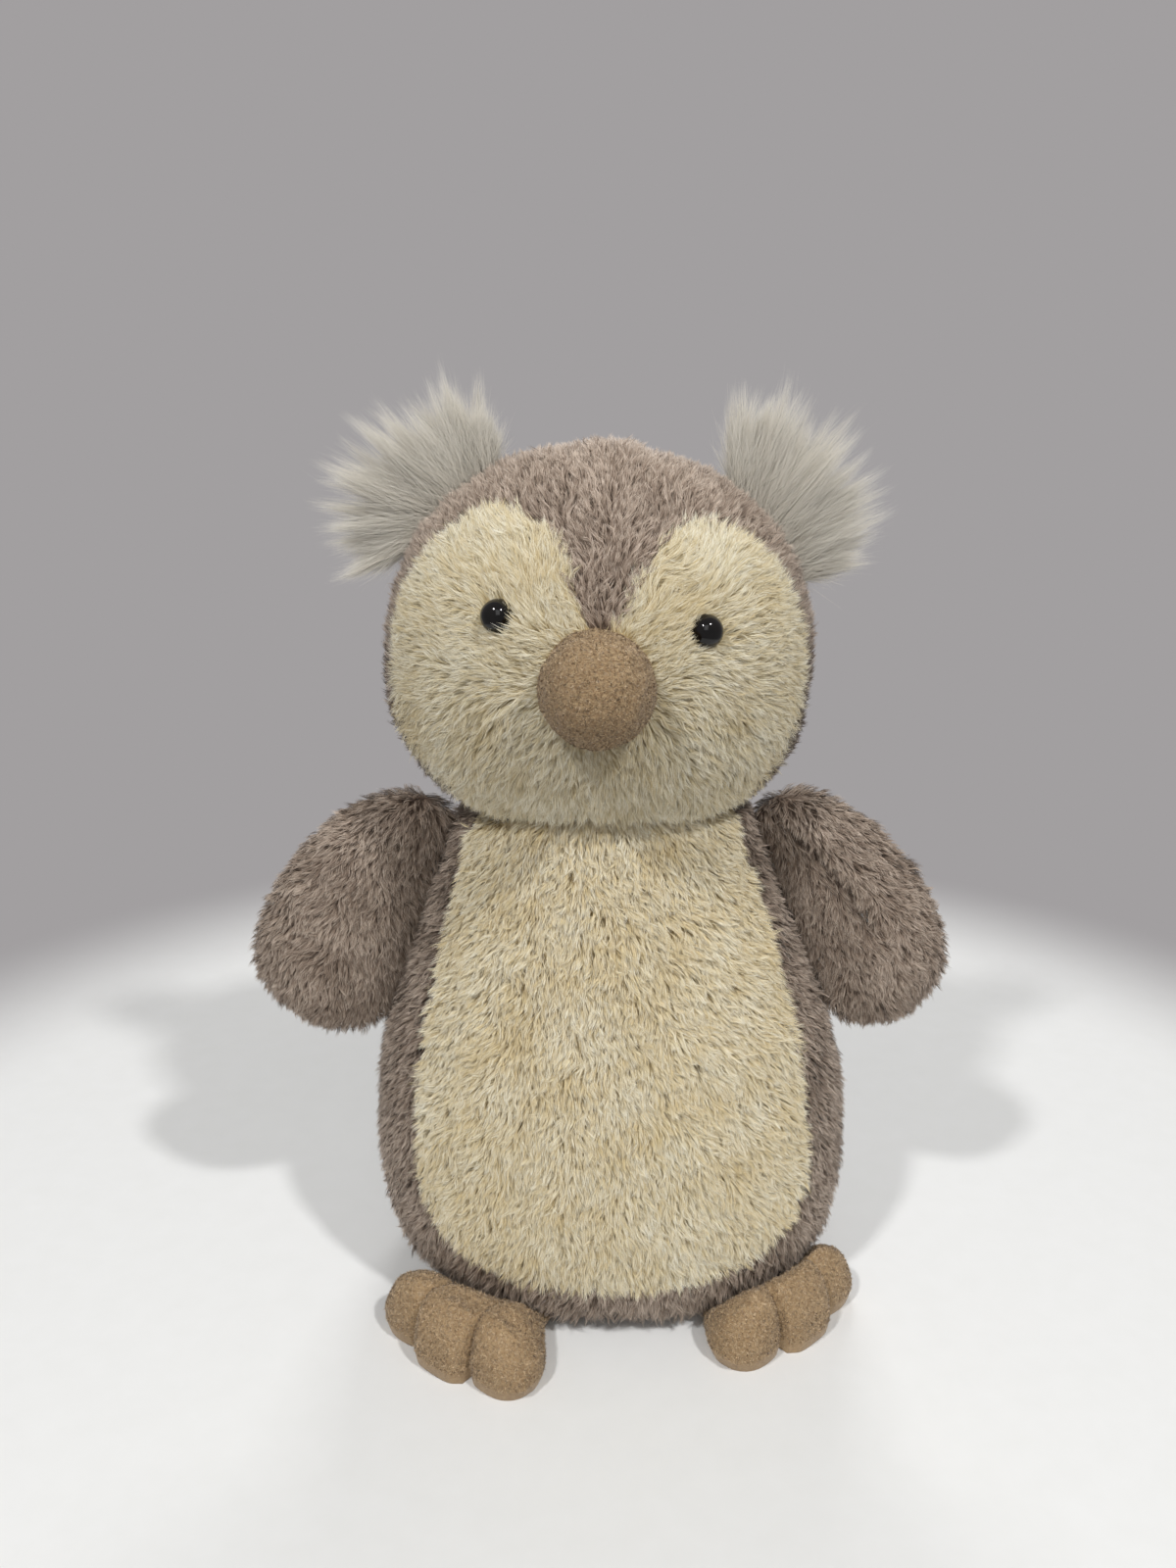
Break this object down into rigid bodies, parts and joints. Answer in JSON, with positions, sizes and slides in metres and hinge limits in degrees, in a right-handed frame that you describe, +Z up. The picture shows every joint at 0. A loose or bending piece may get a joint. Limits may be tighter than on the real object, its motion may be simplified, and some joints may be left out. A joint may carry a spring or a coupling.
{
  "type": "plush owl",
  "caption": "Sitting plush owl with a wide round head, seamed cream face and tummy, stuffed wings, a round cloth beak, tufted ears and soft toed feet; head, wings, ears and feet give.",
  "frame": {"origin": "centre of the flat base panel, on the floor the owl stands on", "axes": "+Z up, -Y the way the face looks, +X to the right as seen from the front"},
  "size_m": [0.2515, 0.1509, 0.3255],
  "materials": {
    "plush_cream": "long-pile plush, cream",
    "plush_taupe": "long-pile plush, taupe",
    "suedette_tan": "short-napped suedette, tan",
    "fur_white": "long straight off-white fur",
    "polyester_fill": "loose white polyester stuffing",
    "eye_black": "polished black",
    "washer_clear": "milky moulded plastic",
    "pellet_cloth": "plain woven cloth, unbleached"
  },
  "bodies": {
    "body": {"body_tummy_panel": "plush_cream", "body_right_panel": "plush_taupe", "body_left_panel": "plush_taupe", "body_base_panel": "plush_taupe", "pellet_bag": "pellet_cloth", "body_stuffing": "polyester_fill"},
    "neck": {"neck_stuffing": "polyester_fill"},
    "head": {"head_stuffing": "polyester_fill", "face_left_panel": "plush_cream", "face_right_panel": "plush_cream", "crown_left_panel": "plush_taupe", "crown_right_panel": "plush_taupe", "beak_cover": "suedette_tan", "beak_stuffing": "polyester_fill", "left_eye": "eye_black", "right_eye": "eye_black", "left_eye_washer": "washer_clear", "right_eye_washer": "washer_clear"},
    "left_ear": {"left_ear_fur": "fur_white", "left_ear_tab": "plush_taupe"},
    "left_wing": {"left_wing_front_panel": "plush_taupe", "left_wing_back_panel": "plush_taupe", "left_wing_stuffing": "polyester_fill"},
    "left_foot": {"left_foot_sole": "suedette_tan", "left_foot_upper": "suedette_tan", "left_foot_stuffing": "polyester_fill"},
    "right_ear": {"right_ear_fur": "fur_white", "right_ear_tab": "plush_taupe"},
    "right_wing": {"right_wing_front_panel": "plush_taupe", "right_wing_back_panel": "plush_taupe", "right_wing_stuffing": "polyester_fill"},
    "right_foot": {"right_foot_sole": "suedette_tan", "right_foot_upper": "suedette_tan", "right_foot_stuffing": "polyester_fill"}
  },
  "joints": [
    {"name": "head_turn", "type": "hinge", "parent": "body", "child": "neck", "pos_m": [-0.00227, 0, 0.142], "axis": [0, 0, 1], "range_deg": [-20, 20], "stiffness_Nm_per_rad": 0.3},
    {"name": "head_nod", "type": "hinge", "parent": "neck", "child": "head", "pos_m": [-0.00227, 0, 0.142], "axis": [1, 0, 0], "range_deg": [-10, 10], "stiffness_Nm_per_rad": 0.8},
    {"name": "left_wing_swing", "type": "hinge", "parent": "body", "child": "left_wing", "pos_m": [-0.05837, -0.00581, 0.18117], "axis": [0.3069, 0, 0.9518], "range_deg": [-36, 42], "stiffness_Nm_per_rad": 0.05},
    {"name": "left_foot_fold", "type": "hinge", "parent": "body", "child": "left_foot", "pos_m": [-0.038, -0.04051, 0], "axis": [-0.8988, 0.4384, 0], "range_deg": [-40, 12], "stiffness_Nm_per_rad": 0.05},
    {"name": "left_ear_bend", "type": "hinge", "parent": "head", "child": "left_ear", "pos_m": [-0.04048, -0.00001, 0.29795], "axis": [0.7242, -0.0362, 0.6886], "range_deg": [-22, 22], "stiffness_Nm_per_rad": 0.005},
    {"name": "right_wing_swing", "type": "hinge", "parent": "body", "child": "right_wing", "pos_m": [0.05098, -0.00581, 0.18124], "axis": [0.3605, 0, -0.9328], "range_deg": [-36, 42], "stiffness_Nm_per_rad": 0.05},
    {"name": "right_foot_fold", "type": "hinge", "parent": "body", "child": "right_foot", "pos_m": [0.048, -0.03386, 0], "axis": [-0.7547, -0.6561, 0], "range_deg": [-40, 12], "stiffness_Nm_per_rad": 0.05},
    {"name": "right_ear_bend", "type": "hinge", "parent": "head", "child": "right_ear", "pos_m": [0.03836, -0.00139, 0.29243], "axis": [0.6222, 0.0127, -0.7828], "range_deg": [-22, 22], "stiffness_Nm_per_rad": 0.005}
  ]
}
